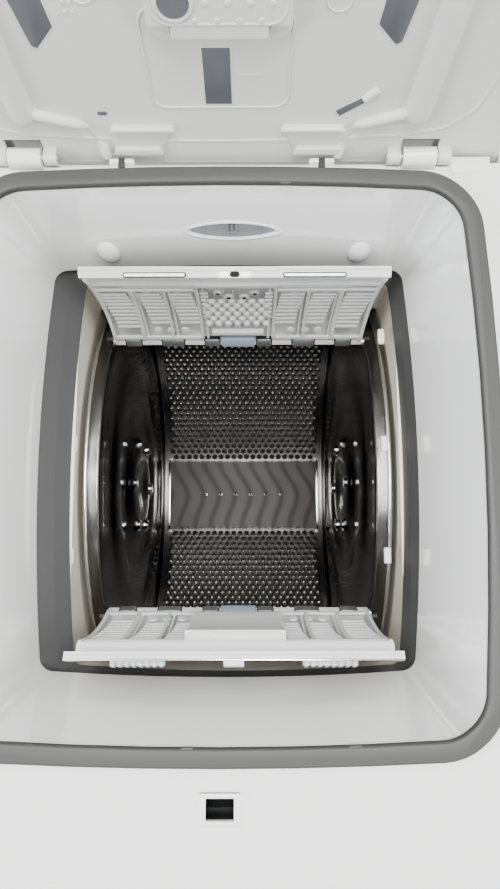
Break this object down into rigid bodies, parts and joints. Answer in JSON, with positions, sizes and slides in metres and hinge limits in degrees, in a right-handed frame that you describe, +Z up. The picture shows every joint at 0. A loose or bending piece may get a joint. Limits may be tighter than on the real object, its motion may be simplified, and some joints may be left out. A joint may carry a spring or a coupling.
{
  "type": "top load washing machine",
  "caption": "Slim top loading washing machine with an open lid, a crosswise steel drum with two open flaps, tub, drive, pump and rear control console.",
  "frame": {"origin": "middle of the footprint on the floor", "axes": "+X to the user's right, +Y towards the back with the console, +Z up"},
  "size_m": [0.4, 0.6, 1.3363],
  "materials": {
    "white_steel": "gloss white enamel",
    "galvanised_steel": "galvanised sheet",
    "white_plastic": "glossy white moulding",
    "grey_plastic": "satin grey moulding",
    "black_plastic": "satin black moulding",
    "grey_seal": "satin grey rubber",
    "dark_rubber": "satin dark grey rubber",
    "cream_plastic": "cream filled polypropylene",
    "stainless_steel": "polished stainless steel",
    "chrome": "bright steel",
    "blue_grey_plastic": "blue-grey moulding",
    "cast_iron": "rough casting",
    "aluminium": "cast aluminium",
    "circuit_board": "green laminate"
  },
  "bodies": {
    "cabinet": {"base_tray": "galvanised_steel", "feet_rear": "black_plastic", "side_panels": "white_steel", "front_panel": "white_steel", "plinth": "white_plastic", "rear_panel": "galvanised_steel", "mains_cable_gland": "black_plastic", "top_plate": "white_plastic", "well": "white_plastic", "lid_seal": "grey_seal", "water_nozzle": "white_plastic", "bellows": "dark_rubber", "tub_left": "cream_plastic", "tub_right": "cream_plastic", "bearings_and_seals": "chrome", "counterweights": "cast_iron", "suspension_springs": "galvanised_steel", "tub_dampers": "galvanised_steel", "heater_and_probe": "stainless_steel", "belt": "dark_rubber", "motor_and_brackets": "aluminium", "drain_pump": "black_plastic", "internal_hoses": "dark_rubber", "drain_spigot": "black_plastic", "inlet_valve": "black_plastic", "console_housing": "white_plastic", "control_fascia": "grey_plastic", "display_window": "black_plastic", "control_board": "circuit_board", "lid_hinge_pins": "chrome", "lid_lock": "black_plastic"},
    "foot_left": {"foot_front_left": "black_plastic"},
    "foot_right": {"foot_front_right": "black_plastic"},
    "filter_door": {"filter_door": "white_plastic"},
    "filter_cap": {"filter_cap": "grey_plastic"},
    "pump_impeller": {"pump_impeller": "black_plastic"},
    "drum": {"drum_shell": "stainless_steel", "drum_ends": "stainless_steel", "lifters": "stainless_steel", "stub_shafts": "chrome", "flap_hinge_pins": "chrome", "flap_clips_and_springs": "chrome", "flap_dampers": "blue_grey_plastic", "drum_pulley": "aluminium"},
    "rear_flap": {"rear_flap_frame": "white_plastic", "rear_flap_skin": "stainless_steel"},
    "front_flap": {"front_flap_frame": "white_plastic", "front_flap_skin": "stainless_steel"},
    "latch_button": {"flap_latch_button": "grey_plastic"},
    "motor_rotor": {"motor_rotor": "aluminium"},
    "programme_knob": {"programme_knob": "grey_plastic"},
    "start_key": {"start_key": "grey_plastic"},
    "spin_speed_key": {"spin_speed_key": "grey_plastic"},
    "temperature_key": {"temperature_key": "grey_plastic"},
    "lid": {"lid_outer_shell": "white_plastic", "lid_inner_panel": "white_plastic", "detergent_dispenser": "white_plastic", "lid_hook": "black_plastic"},
    "dispenser_cover": {"dispenser_cover": "white_plastic"},
    "lock_bolt": {"lock_bolt": "black_plastic"}
  },
  "joints": [
    {"name": "lid_hinge", "type": "hinge", "parent": "cabinet", "child": "lid", "pos_m": [0, 0.178, 0.866], "axis": [1, 0, 0], "range_deg": [0, 99]},
    {"name": "drum_turn", "type": "hinge", "parent": "cabinet", "child": "drum", "pos_m": [0.007, -0.025, 0.456], "axis": [1, 0, 0], "range_deg": [-0.8, 0.8]},
    {"name": "motor_turn", "type": "hinge", "parent": "cabinet", "child": "motor_rotor", "pos_m": [-0.17, 0.06, 0.12], "axis": [1, 0, 0], "range_deg": [-9.6, 9.6]},
    {"name": "rear_flap_hinge", "type": "hinge", "parent": "drum", "child": "rear_flap", "pos_m": [0.007, 0.11243, 0.64105], "axis": [1, 0, 0], "range_deg": [0, 80]},
    {"name": "front_flap_hinge", "type": "hinge", "parent": "drum", "child": "front_flap", "pos_m": [0.007, -0.16243, 0.64105], "axis": [-1, 0, 0], "range_deg": [0, 77]},
    {"name": "latch_button_press", "type": "slide", "parent": "front_flap", "child": "latch_button", "axis": [0, 1, 0.0087], "range_m": [0, 0.004], "stiffness_N_per_m": 300, "springref_m": -0.003},
    {"name": "programme_knob_turn", "type": "hinge", "parent": "cabinet", "child": "programme_knob", "pos_m": [0.12, 0.262, 0.9], "axis": [0, 0, 1], "continuous": true},
    {"name": "start_key_press", "type": "slide", "parent": "cabinet", "child": "start_key", "axis": [0, 0, -1], "range_m": [0, 0.0015], "stiffness_N_per_m": 400, "springref_m": -0.001},
    {"name": "spin_speed_key_press", "type": "slide", "parent": "cabinet", "child": "spin_speed_key", "axis": [0, 0, -1], "range_m": [0, 0.0015], "stiffness_N_per_m": 400, "springref_m": -0.001},
    {"name": "temperature_key_press", "type": "slide", "parent": "cabinet", "child": "temperature_key", "axis": [0, 0, -1], "range_m": [0, 0.0015], "stiffness_N_per_m": 400, "springref_m": -0.001},
    {"name": "dispenser_cover_hinge", "type": "hinge", "parent": "lid", "child": "dispenser_cover", "pos_m": [0.003, 0.19603, 0.96388], "axis": [1, 0, 0], "range_deg": [0, 50]},
    {"name": "lock_bolt_slide", "type": "slide", "parent": "cabinet", "child": "lock_bolt", "axis": [-1, 0, 0], "range_m": [0, 0.014]},
    {"name": "filter_door_hinge", "type": "hinge", "parent": "cabinet", "child": "filter_door", "pos_m": [0.105, -0.298, 0.0383], "axis": [1, 0, 0], "range_deg": [0, 90]},
    {"name": "filter_cap_turn", "type": "hinge", "parent": "cabinet", "child": "filter_cap", "pos_m": [0.105, -0.28, 0.068], "axis": [0, -1, 0], "range_deg": [0, 180]},
    {"name": "pump_impeller_spin", "type": "hinge", "parent": "cabinet", "child": "pump_impeller", "pos_m": [0.105, -0.17, 0.068], "axis": [0, 1, 0], "continuous": true},
    {"name": "foot_left_screw", "type": "slide", "parent": "cabinet", "child": "foot_left", "axis": [0, 0, -1], "range_m": [0, 0.012]},
    {"name": "foot_right_screw", "type": "slide", "parent": "cabinet", "child": "foot_right", "axis": [0, 0, -1], "range_m": [0, 0.012]}
  ],
  "couplings": [
    {"joint": "motor_turn", "follows": "drum_turn", "ratio": 11.667}
  ]
}
